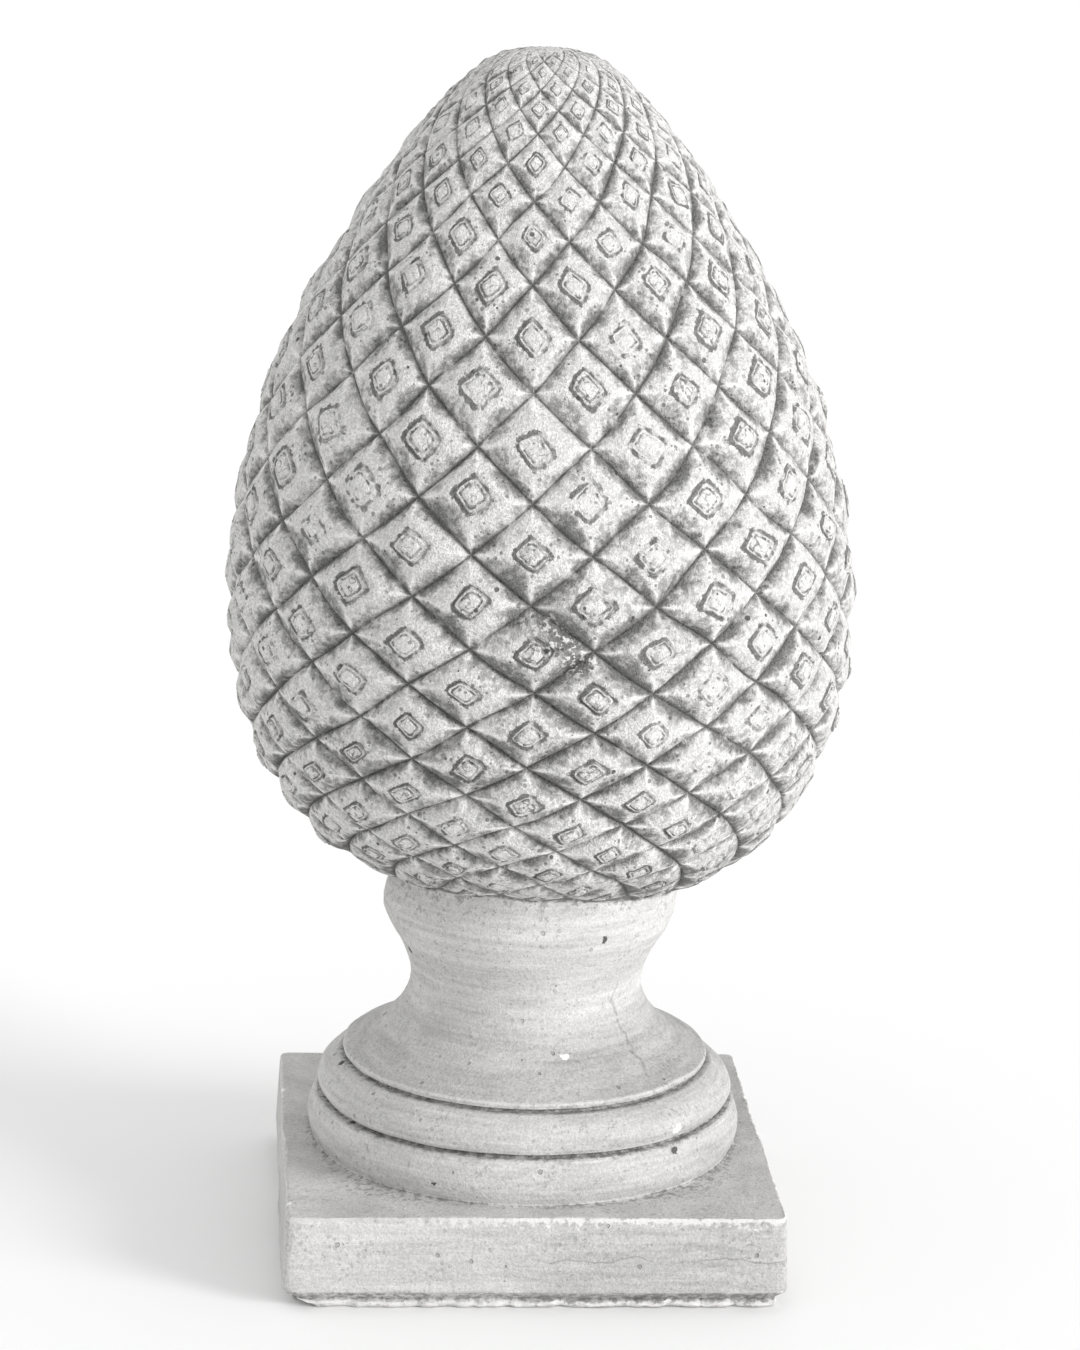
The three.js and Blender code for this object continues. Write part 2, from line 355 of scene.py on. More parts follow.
def carve_cone(bm):
    """All scales, each a copy of its flat pattern, joined along the grooves."""
    patterns = {"fine": scale_pattern(FINE_DEPTHS), "plain": scale_pattern(PLAIN_DEPTHS)}
    points, worn, eroded, dirty, lucky = [], [], [], [], []
    rng = random.Random(CARVING_SEED)
    for row in range(1, LAST_ROW):
        pattern = patterns["fine" if row <= FINE_ROWS else "plain"]
        flat = np.array([v.co.xy for v in pattern.vertices])
        for column in range(row % 2, COLUMNS, 2):
            bm.from_mesh(pattern)
            s, t = flat[:, 0], flat[:, 1]
            placed, wear, eaten, stain = scale_vertices(s, t, row, column, rng)
            points.append(placed)
            worn.append(wear)
            eroded.append(eaten)
            dirty.append(stain)
            luck = rng.random()
            inside = np.maximum(np.abs(s), np.abs(t)) < 0.99
            lucky.append(np.where(inside, luck, 0.5))
    for pattern in patterns.values():
        bpy.data.meshes.remove(pattern)
    wear_layer = bm.verts.layers.float["wear"]
    luck_layer = bm.verts.layers.float["luck"]
    eaten_layer = bm.verts.layers.float["eaten"]
    stain_layer = bm.verts.layers.float["stain"]
    columns = (np.concatenate(found) for found in (points, worn, eroded, dirty, lucky))
    for vertex, point, wear, eaten, stain, luck in zip(bm.verts, *columns):
        vertex.co = point
        vertex[wear_layer] = wear
        vertex[eaten_layer] = eaten
        vertex[stain_layer] = stain
        vertex[luck_layer] = luck
    bmesh.ops.remove_doubles(bm, verts=bm.verts, dist=1e-3)


def curve(points, steps):
    """Points of a Bezier curve of any order, without its first one."""
    out = []
    for step in range(1, steps + 1):
        t = step / steps
        level = [Vector(p) for p in points]
        while len(level) > 1:
            level = [a.lerp(b, t) for a, b in zip(level, level[1:])]
        out.append(tuple(level[0]))
    return out


def pedestal_profile():
    """Rings from the collar's top down to the plinth: radius, height, painted shade in the quirks and
    undercuts and under the cone's foot, and wear.
    """
    reach = LIP_RADIUS - WAIST_RADIUS
    flare_height = WAIST_LEVEL - LIP_TOP
    swell_height = COLLAR_LEVEL - WAIST_LEVEL
    rings = [
        (59.3, 151.8, 0.35, 0),
        (59.8, 149.6, 0.2, 0),
        (60.1, 146.6, 0.1, 0),
        (COLLAR_RADIUS, COLLAR_LEVEL, 0, 0),
    ]
    swell = [
        (COLLAR_RADIUS, COLLAR_LEVEL),
        (COLLAR_RADIUS, WAIST_LEVEL + 0.68 * swell_height),
        (WAIST_RADIUS, WAIST_LEVEL + 0.44 * swell_height),
        (WAIST_RADIUS, WAIST_LEVEL),
    ]
    flare = [
        (WAIST_RADIUS, WAIST_LEVEL),
        (WAIST_RADIUS, LIP_TOP + 0.45 * flare_height),
        (WAIST_RADIUS + 0.7 * reach, LIP_TOP + 0.1 * flare_height),
        (LIP_RADIUS - 1.0, LIP_TOP + 0.15),
    ]
    rings += [(r, z, 0, 0) for r, z in curve(swell, 10)]
    rings += [(r, z, 0, 0) for r, z in curve(flare, 11)]
    rings += [
        (LIP_RADIUS - 0.25, LIP_TOP - 0.35, 0, 1),
        (LIP_RADIUS, LIP_TOP - 1.2, 0, 0.6),
        (LIP_RADIUS - 0.3, LIP_BASE + 0.3, 0.4, 0),
        (LIP_RADIUS - 1.6, LIP_BASE - 0.2, 1, 0),
        (QUIRK_RADII[1], LIP_BASE - 0.8, 1, 0),
        (QUIRK_RADII[1] + 1.0, TORUS_TOP + 0.1, 1, 0),
        (TORUS_TOP_RADIUS - 1.0, TORUS_TOP + 0.15, 0.5, 0),
    ]
    torus = [
        (TORUS_TOP_RADIUS, TORUS_TOP),
        (
            TORUS_TOP_RADIUS + 0.75 * (TORUS_FOOT_RADIUS - TORUS_TOP_RADIUS) + TORUS_BULGE,
            TORUS_TOP - 0.3 * (TORUS_TOP - TORUS_BASE),
        ),
        (TORUS_FOOT_RADIUS + 1.5 * TORUS_BULGE, TORUS_BASE + 0.35 * (TORUS_TOP - TORUS_BASE)),
        (TORUS_FOOT_RADIUS, TORUS_BASE + 0.3),
    ]
    rings.append((*torus[0], 0.1, 0.2))
    rings += [(r, z, 0, 0) for r, z in curve(torus, 9)]
    rings += [
        (TORUS_FOOT_RADIUS - 1.2, TORUS_BASE - 0.2, 1, 0),
        (QUIRK_RADII[0], TORUS_BASE - 0.8, 1, 0),
        (QUIRK_RADII[0] + 1.0, RING_TOP + 0.1, 1, 0),
        (RING_RADIUS - 1.4, RING_TOP + 0.1, 0.4, 0.2),
    ]
    ring = [
        (RING_RADIUS - 0.3, RING_TOP - 0.5),
        (RING_RADIUS + 2 * RING_BULGE, (RING_TOP + PLINTH_HEIGHT) / 2),
        (RING_RADIUS, PLINTH_HEIGHT + 1.0),
    ]
    rings.append((*ring[0], 0, 0.5))
    rings += [(r, z, 0, 0) for r, z in curve(ring, 7)]
    rings.append((RING_RADIUS + 0.2, PLINTH_HEIGHT + 0.3, 1, 0))
    rings.append((RING_RADIUS + 1.1, PLINTH_HEIGHT, 0.6, 0))
    return rings


def square_point(turn, half):
    """The point of a square's outline at an angle from the front, with its corners cut round."""
    angle = math.radians(turn)
    x, y = math.sin(angle), -math.cos(angle)
    grow = 1 / max(abs(x), abs(y))
    u, v = x * grow, y * grow
    corner = PLINTH_CORNER / PLINTH_TOP_HALF
    a, b = abs(u), abs(v)
    if min(a, b) > 0.99:
        pull = 1 - 0.29 * corner
        u, v = math.copysign(pull, u), math.copysign(pull, v)
    elif min(a, b) > 1 - 3 * corner:
        if a < b:
            u = math.copysign(1 - corner, u)
        else:
            v = math.copysign(1 - corner, v)
    return u * half, v * half


def chips(points, seed, count, spread, size):
    """How deep small knocks reach at each point, from 0 to 1."""
    rng = np.random.default_rng(seed)
    total = np.zeros(len(points))
    picked = points[rng.integers(0, len(points), count)]
    for centre in picked:
        reach = rng.uniform(0.4, 1.0) * size
        away = np.linalg.norm((points - centre) / spread, axis=1) / reach
        total = np.maximum(total, rng.uniform(0.3, 1.0) * (1 - smooth(away, 0.2, 1.0)))
    return total


def turn_pedestal(bm, rim):
    """Carries the cone's foot down over the collar, the neck and the mouldings."""
    turn_layer = bm.verts.layers.int["turn"]
    painted_shade_layer = bm.verts.layers.float["soot"]
    rim_layer = bm.verts.layers.float["rim"]
    base_layer = bm.verts.layers.float["pedestal"]
    # The rim's points are numbered in their order round the axis, so that no two share a place.
    places = {}
    for vertex in {vertex for edge in rim for vertex in edge.verts}:
        angle = math.degrees(math.atan2(vertex.co.x - CONE_FOOT_SHIFT, -vertex.co.y))
        places[vertex] = (angle - SCALE_TURN) / TURN_STEP
    around = sorted(places, key=places.get)
    lead = sum(places[vertex] - number for number, vertex in enumerate(around))
    first = round(lead / len(around))
    for number, vertex in enumerate(around):
        vertex[turn_layer] = (first + number) % STEPS_AROUND
    for number, (radius, level, soot, pale) in enumerate(pedestal_profile()):
        fresh, rim = extrude_rim(bm, rim)
        share = max(0.0, 1.0 - 0.3 * number)
        shift = CONE_FOOT_SHIFT * share
        for vertex in fresh:
            angle = math.radians(SCALE_TURN + TURN_STEP * vertex[turn_layer])
            lifted = level + share * foot_lift(angle, 0)
            vertex.co = (shift + radius * math.sin(angle), -radius * math.cos(angle), lifted)
            vertex[painted_shade_layer] = soot
            vertex[rim_layer] = pale
            vertex[base_layer] = 1
    return rim


def square_plinth(bm, rim):
    """Carries the mouldings' foot out over the plinth and down to its underside."""
    turn_layer = bm.verts.layers.int["turn"]
    painted_shade_layer = bm.verts.layers.float["soot"]
    rim_layer = bm.verts.layers.float["rim"]
    for half in (None, PLINTH_FACE_HALF):
        fresh, rim = extrude_rim(bm, rim)
        for vertex in fresh:
            turn = SCALE_TURN + TURN_STEP * vertex[turn_layer]
            if half is None:
                outer = Vector(square_point(turn, 97.0))
                x, y = vertex.co.xy.lerp(outer, 0.35)
            else:
                x, y = square_point(turn, half)
            vertex.co = (x, y, PLINTH_HEIGHT)
            vertex[painted_shade_layer] = 0
            vertex[rim_layer] = 0
    bmesh.ops.subdivide_edges(bm, edges=rim, cuts=2, use_grid_fill=False)
    rim = [
        edge
        for edge in boundary(bm)
        if all(abs(v.co.z - PLINTH_HEIGHT) < 0.5 for v in edge.verts)
    ]
    half = PLINTH_FACE_HALF
    for next_half, level, soot, pale in PLINTH_SIDES:
        fresh, rim = extrude_rim(bm, rim)
        for vertex in fresh:
            vertex.co.x *= next_half / half
            vertex.co.y *= next_half / half
            vertex.co.z = level
            vertex[painted_shade_layer] = soot
            vertex[rim_layer] = pale
        half = next_half
    bmesh.ops.holes_fill(bm, edges=rim, sides=0)


def weather_pedestal(bm):
    """Soft unevenness of the pedestal, knocked edges, the ragged foot and its lost corner."""
    base_layer = bm.verts.layers.float["pedestal"]
    rim_layer = bm.verts.layers.float["rim"]
    verts = [v for v in bm.verts if v[base_layer] > 0.5]
    points = np.array([v.co for v in verts])
    pale = np.array([v[rim_layer] for v in verts])
    outward = points * (1, 1, 0)
    outward /= np.maximum(np.linalg.norm(outward, axis=1, keepdims=True), 1e-6)
    x, y, z = points.T
    standing = smooth(z, 0.0, 1.5)
    inner = smooth(np.hypot(x, y), 20, 60)
    uneven = 0.22 * ripple(points, 70, 21) + 0.12 * ripple(points * (1, 1, 2.5), 22, 22)
    moved = points + outward * (uneven * inner * standing)[:, None]
    top_face = (np.abs(z - PLINTH_HEIGHT) < 0.1) & (np.hypot(x, y) > 89)
    moved[:, 2] += np.where(top_face, 0.18 * ripple(points, 40, 23), 0)
    knocks = chips(points, 24, 420, np.array([1, 1, 1]), 3.2) * smooth(pale, 0.2, 0.8)
    moved -= outward * (knocks * 0.9)[:, None]
    moved[:, 2] -= np.where(z > 30, knocks * 0.4, 0)
    foot = smooth(3.4 - z, 0.0, 0.6) * (np.maximum(np.abs(x), np.abs(y)) > 90)
    level = points * (1, 1, 0)
    ragged = 0.8 * ripple(level, 7, 25) + 0.5 * ripple(level, 26, 26)
    moved[:, 2] += foot * standing * 0.35 * ripple(level, 6, 27)
    moved -= outward * (foot * np.clip(0.35 + 0.8 * ragged, -0.6, 2.6))[:, None]
    # The front left corner of the foot is broken off.
    share = 1 - (x - LOST_CORNER_SIDE) / LOST_CORNER_LENGTH
    lost = LOST_CORNER_HEIGHT * np.clip(share, 0, 1) * smooth(-y, 84, 96)
    moved[:, 2] = np.maximum(moved[:, 2], lost)
    for vertex, point in zip(verts, moved):
        vertex.co = point


def build_finial():
    bm = bmesh.new()
    for name in ("wear", "eaten", "stain", "luck", "soot", "rim", "pedestal"):
        bm.verts.layers.float.new(name)
    bm.verts.layers.int.new("turn")
    bm.loops.layers.uv.new("scale")
    carve_cone(bm)
    open_edges = boundary(bm)
    foot = [edge for edge in open_edges if edge.verts[0].co.z < CONE_FOOT + 40]
    tip = [edge for edge in open_edges if edge.verts[0].co.z > CONE_FOOT + 200]
    shares = bm.loops.layers.uv["scale"]
    cut = set(bm.faces)
    fresh, tip = extrude_rim(bm, tip)
    for vertex in fresh:
        vertex.co.x = CONE_TIP_SHIFT + 0.45 * (vertex.co.x - CONE_TIP_SHIFT)
        vertex.co.y *= 0.45
        vertex.co.z = CONE_FOOT + CONE_HEIGHT - 0.1
    fresh, tip = extrude_rim(bm, tip)
    bmesh.ops.pointmerge(bm, verts=list(fresh), merge_co=(CONE_TIP_SHIFT, 0, CONE_FOOT + CONE_HEIGHT))
    for face in set(bm.faces) - cut:
        for loop in face.loops:
            loop[shares].uv = PLAIN_SHARE
    rim = turn_pedestal(bm, foot)
    square_plinth(bm, rim)
    weather_pedestal(bm)
    bmesh.ops.recalc_face_normals(bm, faces=bm.faces)
    bmesh.ops.scale(bm, verts=bm.verts, vec=(MM, MM, MM))
    for face in bm.faces:
        face.smooth = True
    mesh = bpy.data.meshes.new("finial_stone")
    bm.to_mesh(mesh)
    bm.free()
    finial = bpy.data.objects.new("finial_stone", mesh)
    bpy.context.scene.collection.objects.link(finial)
    return finial


class Value:
    """A shader number: arithmetic on it adds the nodes that work it out."""

    def __init__(self, graph, socket):
        self.graph = graph
        self.socket = socket

    def __add__(self, other):
        return self.graph.maths("ADD", self, other)

    def __radd__(self, other):
        return self.graph.maths("ADD", other, self)

    def __sub__(self, other):
        return self.graph.maths("SUBTRACT", self, other)

    def __rsub__(self, other):
        return self.graph.maths("SUBTRACT", other, self)

    def __mul__(self, other):
        return self.graph.maths("MULTIPLY", self, other)

    def __rmul__(self, other):
        return self.graph.maths("MULTIPLY", other, self)

    def __truediv__(self, other):
        return self.graph.maths("DIVIDE", self, other)

    def __rtruediv__(self, other):
        return self.graph.maths("DIVIDE", other, self)

    def __pow__(self, other):
        return self.graph.maths("POWER", self, other)

    def __neg__(self):
        return self.graph.maths("MULTIPLY", self, -1.0)

    def __abs__(self):
        return self.graph.maths("ABSOLUTE", self)


class Graph:
    """The node tree of one material."""

    def __init__(self, name):
        self.material = bpy.data.materials.new(name)
        self.material.use_nodes = True
        self.tree = self.material.node_tree
        self.tree.nodes.clear()

    def add(self, kind, settings=None, inputs=None):
        node = self.tree.nodes.new(kind)
        for key, value in (settings or {}).items():
            setattr(node, key, value)
        for key, value in (inputs or {}).items():
            if isinstance(value, Value):
                value = value.socket
            if isinstance(value, bpy.types.NodeSocket):
                self.tree.links.new(value, node.inputs[key])
            else:
                node.inputs[key].default_value = value
        return node

    def value(self, node, output):
        return Value(self, node.outputs[output])

    def maths(self, operation, *values):
        node = self.add("ShaderNodeMath", {"operation": operation}, dict(enumerate(values)))
        return self.value(node, 0)

    def larger(self, a, b):
        return self.maths("MAXIMUM", a, b)

    def smaller(self, a, b):
        return self.maths("MINIMUM", a, b)

    def step(self, value, low, high):
        """0 below low, 1 above high and smooth between; low may be the larger one."""
        flip = low > high
        inputs = {"Value": value, "From Min": min(low, high), "From Max": max(low, high)}
        node = self.add("ShaderNodeMapRange", {"interpolation_type": "SMOOTHSTEP"}, inputs)
        found = self.value(node, "Result")
        return 1.0 - found if flip else found

    def attribute(self, name):
        return self.value(self.add("ShaderNodeAttribute", {"attribute_name": name}), "Fac")

    def stretch(self, vector, factors):
        node = self.add("ShaderNodeVectorMath", {"operation": "MULTIPLY"}, {0: vector, 1: factors})
        return node.outputs[0]

    def noise(self, vector, scale, detail=2.0, rough=0.5):
        inputs = {"Vector": vector, "Scale": scale, "Detail": detail, "Roughness": rough}
        return self.value(self.add("ShaderNodeTexNoise", {}, inputs), "Fac")

    def mix(self, factor, a, b):
        inputs = {"Factor": factor, "A": a, "B": b}
        node = self.add("ShaderNodeMix", {"data_type": "FLOAT", "clamp_factor": True}, inputs)
        return self.value(node, "Result")

    def specks(self, vector, scale, share, radius, shake):
        """Holes strewn at random: 1 inside a hole. Share is how many cells have one."""
        node = self.add(
            "ShaderNodeTexVoronoi",
            {"feature": "F1"},
            {"Vector": vector, "Scale": scale, "Randomness": 1.0},
        )
        parts = self.add("ShaderNodeSeparateColor", {}, {0: node.outputs["Color"]})
        chosen = self.step(self.value(parts, 0), share, share - 0.02)
        size = radius * (0.35 + 0.65 * self.value(parts, 1) ** 2.0)
        near = self.step(self.value(node, "Distance") / size + 0.4 * shake, 1.1, 0.75)
        return chosen * near

    def any_spot(self, vector, places, shake):
        """1 at any of the places, each a point and a radius in millimetres."""
        found = None
        for x, y, z, radius in places:
            centre = (x * MM, y * MM, z * MM)
            inputs = {0: vector, 1: centre}
            node = self.add("ShaderNodeVectorMath", {"operation": "DISTANCE"}, inputs)
            away = (self.value(node, 1) + shake) / (radius * MM)
            inside = self.step(away, 1.0, 0.7)
            found = inside if found is None else self.larger(found, inside)
        return found


# Single marks: degrees round from the front, height and radius, and on the plinth's edge no height
PITS = (
    (27, 141, 1.8),
    (-70, 125, 1.9),
    (-80, 74, 2.0),
    (-60, 58.5, 1.6),
    (-27, 46, 1.4),
    (40, 56, 2.2),
)
CHIPS = ((13, 91, 2.0), (43, 63, 2.3))
EDGE_CHIPS = ((-117, 2.4), (-50, 2.2))


def on_pedestal(turn, height, radius):
    """A mark on the neck or the mouldings, set on their profile, as x, y, z and radius."""
    levels, reaches = zip(*sorted((z, r) for r, z, _, _ in pedestal_profile()))
    reach = float(np.interp(height, levels, reaches))
    angle = math.radians(turn)
    return reach * math.sin(angle), -reach * math.cos(angle), height, radius


def on_edge(turn, radius):
    """A mark on the upper edge of the plinth, as x, y, z and radius."""
    return *square_point(turn, PLINTH_TOP_HALF), PLINTH_HEIGHT, radius


# How pale each kind of surface is, from black to white
STONE = 0.61
# Painted highlights on the ridges and on the boss tops
RIDGE_HIGHLIGHT = 0.84
BOSS_HIGHLIGHT = 0.72
# Edges pale with wear, and paler still as a painted highlight on the plinth's right side
RUBBED_AND_LIT_EDGE = 0.80
FLECK = 0.82
EATEN_LUMP = 0.84
CHIP = 0.86
# Dirt and painted shade
DIRT_AND_SHADE = 0.10
PIT = 0.10
PORE = 0.05

# Painted shade and dirt are a thin film, a crust over it and a haze round both: how dark each is and
# where it sets in
FILM = 0.51
CRUST = 0.34
HAZE = 0.07
FILM_LIMITS = (0.42, 0.52)
CRUST_LIMITS = (0.84, 0.94)

SEAM_BOTTOM, SEAM_TOP = 0.079, 0.125  # metres, as everywhere in the material
CRACK_LEVEL = 0.0215


def stone_base(g):
    """The coordinates, the mesh's own layers and the noises that all marks share."""
    m = SimpleNamespace()
    m.place = g.add("ShaderNodeTexCoord").outputs["Object"]
    shares = g.add("ShaderNodeUVMap", {"uv_map": "scale"}).outputs["UV"]
    parts = g.add("ShaderNodeSeparateXYZ", {}, {0: shares})
    spot = g.add("ShaderNodeSeparateXYZ", {}, {0: m.place})
    m.s, m.t = g.value(parts, 0), g.value(parts, 1)
    m.side, m.forward, m.height = (g.value(spot, axis) for axis in range(3))
    for name in ("wear", "eaten", "stain", "luck", "soot", "rim", "pedestal"):
        setattr(m, name, g.attribute(name))
    m.cone = 1.0 - m.pedestal
    m.broad = g.noise(m.place, 14.0, 1.0)
    m.patch = g.noise(m.place, 60.0, 2.0, 0.6)
    m.hand = g.noise(m.place, 130.0, 0.0)
    m.breaks = g.noise(m.place, 230.0, 1.0, 0.6)
    m.ragged = g.noise(m.place, 330.0, 2.0, 0.65)
    m.grain = g.step(g.noise(m.place, 900.0, 1.0, 0.9), 0.34, 0.66) - 0.5
    m.rough = g.step(m.ragged, 0.35, 0.65) - 0.5
    # The left side, turned away from the key light, where the cone takes more painted shade
    m.left_side = g.step(m.side, 0.10, -0.03)
    m.low = g.step(m.height, 0.26, 0.21)
    return m


def scale_dirt(g, m):
    """Painted shade and dirt on a scale: near its grooves, and painted shade wide on the faces that look
    down, most on the cone's left side, away from the key light.
    """
    away_from_light = g.larger(m.left_side, m.low * g.step(m.side, 0.115, 0.06))
    corner = m.along * m.along
    near = g.step(m.uneven + 0.10 * corner, 0.52, -0.05)
    wide = g.step(m.uneven + 0.42 * corner, 0.78, 0.30)
    hollow = near * (
        0.78 * m.upper_right
        + 0.68 * m.upper_left
        + (0.72 - 0.5 * m.low) * m.lower_right
        + (0.32 - 0.24 * away_from_light) * m.lower_left
    )
    hollow = hollow * (1.0 + 0.3 * (1.0 - m.left_side))
    belly = 0.84 + 0.34 * g.step(m.height, 0.345, 0.32)
    # Painted shade on the facets that look down: the lower left ones most where they turn from the
    # light, the lower right ones on the low rows
    below = (0.1 + 0.56 * away_from_light) * m.lower_left + 0.5 * m.low * m.lower_right
    return hollow, wide * (0.88 + 0.25 * near) * belly * below


def scale_marks(g, m):
    """Marks of each scale. Its edges s run down to the right in the picture, its edges t to the left."""
    reach = g.larger(abs(m.s), abs(m.t))
    depth = 1.0 - reach
    m.along = g.smaller(abs(m.s), abs(m.t)) / g.larger(reach, 0.001)
    m.uneven = depth + (m.hand - 0.5) * 0.06 + m.rough * 0.045
    m.lower_left = g.step(-m.s - abs(m.t), -0.02, 0.04)
    m.lower_right = g.step(-m.t - abs(m.s), -0.02, 0.04)
    m.upper_right = g.step(m.s - abs(m.t), -0.02, 0.04)
    m.upper_left = g.step(m.t - abs(m.s), -0.02, 0.04)
    m.hollow, m.underside = scale_dirt(g, m)
    # The bottoms of the grooves, darkened with dirt and painted shade
    m.core = g.step(m.uneven, 0.065, 0.0) * g.step(m.hand, 0.32, 0.55)

    # Lines cut round the boss, broken where the noise is low, darkened with dirt and painted shade, the
    # painted shade weaker on the facets to the right that face the light
    line_at = abs(m.uneven - 0.61 - (m.hand - 0.5) * 0.05)
    kept = g.step(m.breaks + 0.35 * m.luck, 0.40, 0.60)
    line = g.step(line_at / (0.02 + 0.12 * m.breaks), 1.0, 0.45) * kept
    second = g.step(abs(m.uneven - 0.75), 0.05, 0.015)
    second = second * g.step(m.breaks + 0.2 * m.luck, 0.50, 0.62)
    stroke = g.step(abs(m.breaks - 0.5), 0.035, 0.0) * g.step(depth, 0.56, 0.66)
    stroke = stroke * g.step(m.luck, 0.35, 0.55)
    lit_facets = g.larger(m.upper_right, m.lower_right)
    cuts = g.larger(line * (1.3 - 0.5 * lit_facets), second * 0.9)
    m.cuts = g.larger(cuts, stroke * 0.8) * (1.0 - 0.8 * m.wear)

    # Painted highlights along the ridges, on the boss tops and on a frame inside the lines
    off_ridge = reach - g.smaller(abs(m.s), abs(m.t))
    crest = g.step(off_ridge + m.rough * 0.04, 0.17, 0.0) * g.step(depth, 0.5, 0.12)
    m.crest = crest * g.step(depth, 0.02, 0.15) * g.step(m.ragged, 0.15, 0.55) * m.cone
    top = g.step(depth, 0.74, 0.80)
    frame_highlight = g.step(abs(m.uneven - 0.685), 0.035, 0.01) * g.step(m.ragged, 0.35, 0.6)
    m.top = g.larger(top * 0.35, frame_highlight * 0.5) * m.cone


def pedestal_marks(g, m):
    """Streaks round the smooth parts, knocked edges with a painted highlight where the light falls on
    them, and single pits, chips, the seam and cracks.
    """
    wander = g.add("ShaderNodeCombineXYZ", {}, {0: m.broad * 0.15, 1: m.broad * -0.15})
    wavy = g.add("ShaderNodeVectorMath", {"operation": "ADD"}, {0: m.place, 1: wander.outputs[0]})
    streaks = g.noise(g.stretch(wavy.outputs[0], (20.0, 20.0, 280.0)), 1.0, 3.0, 0.75)
    m.brushed = (streaks - 0.5) * 0.42
    # Pale edges: rubbed wear, with a painted highlight added on the plinth's right side
    rubbed = g.step(m.rim * 1.1 - (m.ragged - 0.5) * 2.4, 0.5, 0.9)
    lit = g.step(m.side, -0.06, 0.01) * g.step(m.height, 0.05, 0.04)
    m.edges = rubbed * (0.25 + 0.4 * lit)

    shake = m.rough * 0.0012
    pale_marks = [on_pedestal(*mark) for mark in CHIPS] + [on_edge(*mark) for mark in EDGE_CHIPS]
    m.pitted = g.any_spot(m.place, [on_pedestal(*mark) for mark in PITS], shake)
    m.chipped = g.any_spot(m.place, pale_marks, shake)
    off_seam = abs((m.side + m.forward) * 0.707 + (m.patch - 0.5) * 0.014)
    seam = g.step(off_seam + shake * 0.3, 0.0011, 0.0001)
    seam = seam * g.step(m.height, SEAM_BOTTOM, SEAM_BOTTOM + 0.004)
    seam = seam * g.step(m.height, SEAM_TOP, SEAM_TOP - 0.02)
    m.seam = seam * g.step(m.breaks, 0.35, 0.5) * m.pedestal
    off_crack = abs(m.height - CRACK_LEVEL + (m.patch - 0.5) * 0.010)
    cracks = g.step(off_crack, 0.0006, 0.0001) * g.step(-m.forward, 0.0985, 0.0995)
    m.cracks = cracks * g.step(m.broad, 0.50, 0.56)


def pore_marks(g, m):
    """Holes left by bubbles and lost grains."""
    m.holes = g.specks(m.place, 150.0, 0.30, 0.17, m.rough)
    pepper = g.specks(m.place, 420.0, 0.50, 0.42, m.rough) * g.step(m.patch, 0.36, 0.56)
    m.pores = g.larger(m.holes, pepper * 0.75) * (1.0 - 0.6 * m.pedestal)


def dirt_marks(g, m):
    """Dirt and painted shade lie in what is cut deep, on the faces that look down, on the cone's right
    side and in the pedestal's creases, and thin out in grains from there.
    """
    strength = 0.45 + 1.1 * g.step(m.patch, 0.35, 0.65)
    shade_and_soil = strength * m.hollow + (0.6 + 0.4 * strength) * m.underside
    shade_and_soil = m.cone * (shade_and_soil + 0.50 * m.core + 0.85 * m.cuts + 0.02)
    # Painted shade in the pedestal's creases and undercuts, and on the cone's foot above the collar
    shade_and_soil = shade_and_soil + m.soot * (0.3 + 0.6 * m.patch) + m.cone * 0.22 * g.step(m.height, 0.200, 0.165)
    # Dirt and painted shade where the grooves cross
    crossing = g.step(abs(m.s) + abs(m.t) + m.rough * 0.1, 1.66, 1.92)
    # Painted shade on the cone's right side, where the key light falls, more on its low rows
    right = (1.0 - m.left_side) * (0.10 + 0.10 * m.low)
    shade_and_soil = shade_and_soil + m.cone * (0.35 * crossing + right + 0.24 * m.stain - 0.07 * m.low)
    shade_and_soil = shade_and_soil + 0.04 + (m.patch - 0.5) * 0.4 + (m.broad - 0.5) * 0.3
    shade_and_soil = shade_and_soil + 1.3 * m.eaten * g.step(m.ragged, 0.60, 0.40)
    lean = shade_and_soil + m.grain * 0.34 + m.rough * 0.66
    m.film = g.step(lean, *FILM_LIMITS)
    crust = g.step(lean, *CRUST_LIMITS)
    haze = g.step(shade_and_soil, 0.0, 1.10)
    m.dirt = (m.film * FILM + crust * CRUST + haze * HAZE) * (1.0 - 0.5 * m.crest)


